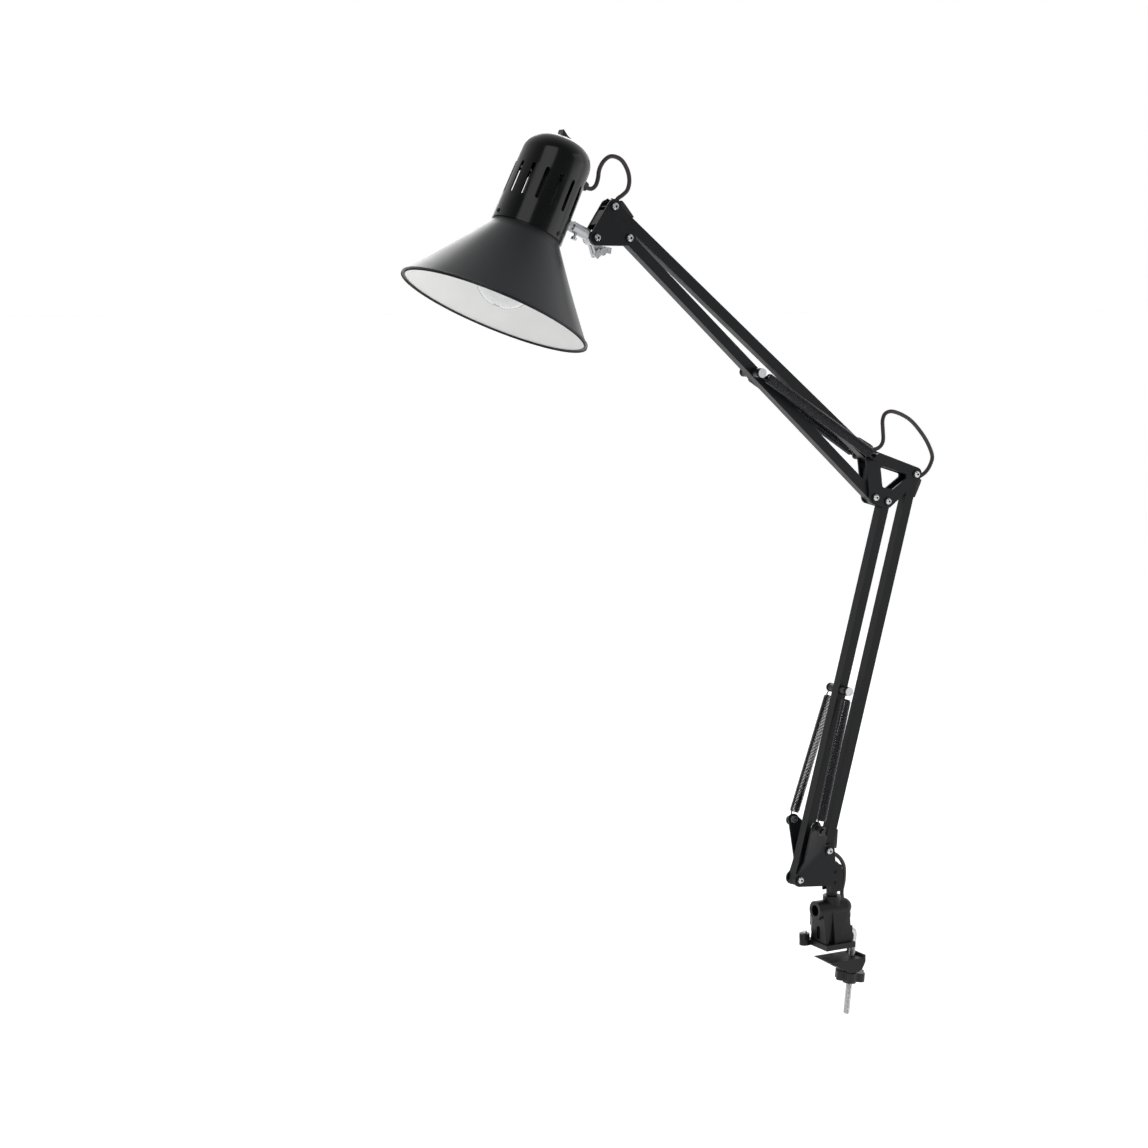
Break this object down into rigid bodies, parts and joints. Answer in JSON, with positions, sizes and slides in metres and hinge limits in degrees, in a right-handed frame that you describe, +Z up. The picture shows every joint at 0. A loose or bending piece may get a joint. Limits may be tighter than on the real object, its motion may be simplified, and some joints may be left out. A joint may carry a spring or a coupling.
{
  "type": "swing arm desk lamp",
  "caption": "Clamp-on swing arm desk lamp with two sprung parallel-bar arms, tilting cone shade, rocker switch and mains cord.",
  "frame": {"origin": "centre of the clamp foot's underside, where it rests on the desk top", "axes": "+X away from the shade along the arms' plane, +Y to the rear, +Z up along the swivel post"},
  "size_m": [0.5132, 0.1607, 0.7762],
  "materials": {
    "black_paint": "satin",
    "black_casting": "satin",
    "black_gloss": "gloss",
    "black_plastic": "satin",
    "bright_steel": "bright",
    "spring_nickel": "bright",
    "zinc_casting": "satin",
    "white_ceramic": "gloss",
    "white_plastic": "satin",
    "clear_glass": "clear",
    "cord_pvc": "satin"
  },
  "bodies": {
    "clamp": {"base_casting": "black_casting", "clamp_bolt": "bright_steel", "fixing_bolt": "bright_steel", "cord_free": "cord_pvc", "cord_hank": "cord_pvc", "cord_tie": "black_plastic", "cord_lead": "cord_pvc", "plug_body": "black_plastic", "plug_pins": "bright_steel"},
    "jaw": {"clamp_jaw": "black_casting"},
    "knob": {"clamp_knob": "black_plastic"},
    "yoke": {"swivel_post": "black_casting", "yoke_bracket": "black_paint", "yoke_screws": "bright_steel", "spring_spools": "black_plastic", "spring_lower_left": "spring_nickel", "spring_lower_right": "spring_nickel", "cord_tail": "cord_pvc"},
    "lower_front_arm": {"lower_front_bar": "black_paint", "lower_crosspin": "black_plastic"},
    "lower_rear_arm": {"lower_rear_bar": "black_paint", "lower_bar_covers": "black_plastic", "cord_in_lower_bar": "cord_pvc"},
    "elbow": {"elbow_bracket": "black_paint", "elbow_screws": "bright_steel", "spring_upper_left": "spring_nickel", "spring_upper_right": "spring_nickel", "cord_elbow_loop": "cord_pvc"},
    "upper_lower_arm": {"upper_lower_bar": "black_paint", "upper_crosspin": "black_plastic"},
    "upper_upper_arm": {"upper_upper_bar": "black_paint", "upper_bar_covers": "black_plastic", "cord_in_upper_bar": "cord_pvc"},
    "head_plate": {"head_bracket": "black_paint", "head_bracket_screws": "bright_steel", "tilt_screw": "bright_steel"},
    "knuckle": {"knuckle": "zinc_casting", "knuckle_thumb_screw": "bright_steel", "cord_head_loop": "cord_pvc"},
    "head": {"swivel_stud": "bright_steel", "stud_nut": "bright_steel", "shade": "black_paint", "shade_cap": "black_gloss", "cap_screws": "bright_steel", "lampholder": "black_plastic", "bulb_screw_cap": "bright_steel", "bulb_glass": "clear_glass", "switch_bezel": "white_plastic", "cord_grommet": "black_plastic"},
    "rocker": {"switch_rocker": "black_plastic"}
  },
  "joints": [
    {"name": "jaw_slide", "type": "slide", "parent": "clamp", "child": "jaw", "axis": [0.0976, 0, 0.9952], "range_m": [-0.025, 0.01]},
    {"name": "knob_turn", "type": "hinge", "parent": "jaw", "child": "knob", "pos_m": [0.0253, 0, 0.0114], "axis": [0.0976, 0, 0.9952], "continuous": true},
    {"name": "post_swivel", "type": "hinge", "parent": "clamp", "child": "yoke", "pos_m": [0, 0, 0.03], "axis": [0, 0, 1], "range_deg": [-170, 170], "deforming": ["cord_tail"]},
    {"name": "lower_arm_tilt", "type": "hinge", "parent": "yoke", "child": "lower_rear_arm", "pos_m": [-0.0083, 0, 0.0887], "axis": [0, -1, 0], "range_deg": [-20, 60], "deforming": ["cord_tail"]},
    {"name": "lower_front_follow", "type": "hinge", "parent": "yoke", "child": "lower_front_arm", "pos_m": [-0.039, 0, 0.066], "axis": [0, -1, 0], "range_deg": [-20, 60], "deforming": ["spring_lower_left", "spring_lower_right"]},
    {"name": "elbow_follow", "type": "hinge", "parent": "lower_rear_arm", "child": "elbow", "pos_m": [0.08047, 0, 0.42001], "axis": [0, -1, 0], "range_deg": [-60, 20], "deforming": ["cord_elbow_loop"]},
    {"name": "upper_arm_tilt", "type": "hinge", "parent": "elbow", "child": "upper_upper_arm", "pos_m": [0.03127, 0, 0.43711], "axis": [0, -1, 0], "range_deg": [0, 58], "deforming": ["cord_elbow_loop"]},
    {"name": "upper_lower_follow", "type": "hinge", "parent": "elbow", "child": "upper_lower_arm", "pos_m": [0.03627, 0, 0.40111], "axis": [0, -1, 0], "range_deg": [0, 60], "deforming": ["spring_upper_left", "spring_upper_right"]},
    {"name": "head_plate_follow", "type": "hinge", "parent": "upper_upper_arm", "child": "head_plate", "pos_m": [-0.22899, 0, 0.64939], "axis": [0, -1, 0], "range_deg": [-86, 0], "deforming": ["cord_head_loop"]},
    {"name": "head_tilt", "type": "hinge", "parent": "head_plate", "child": "knuckle", "pos_m": [-0.24559, 0, 0.62419], "axis": [0, -1, 0], "range_deg": [-35, 15], "deforming": ["cord_head_loop"]},
    {"name": "head_swivel", "type": "hinge", "parent": "knuckle", "child": "head", "pos_m": [-0.25646, 0, 0.62926], "axis": [0.9063, 0, -0.4226], "range_deg": [-90, 90], "deforming": ["cord_head_loop"]},
    {"name": "switch_rock", "type": "hinge", "parent": "head", "child": "rocker", "pos_m": [-0.27316, 0, 0.69994], "axis": [0, -1, 0], "range_deg": [0, 14]}
  ],
  "couplings": [
    {"joint": "knob_turn", "follows": "jaw_slide", "rad_per_m": 6283.2},
    {"joint": "lower_front_follow", "follows": "lower_arm_tilt", "ratio": 1},
    {"joint": "elbow_follow", "follows": "lower_arm_tilt", "ratio": -1},
    {"joint": "upper_lower_follow", "follows": "upper_arm_tilt", "ratio": 1.02},
    {"joint": "head_plate_follow", "follows": "upper_arm_tilt", "ratio": -1.48}
  ]
}
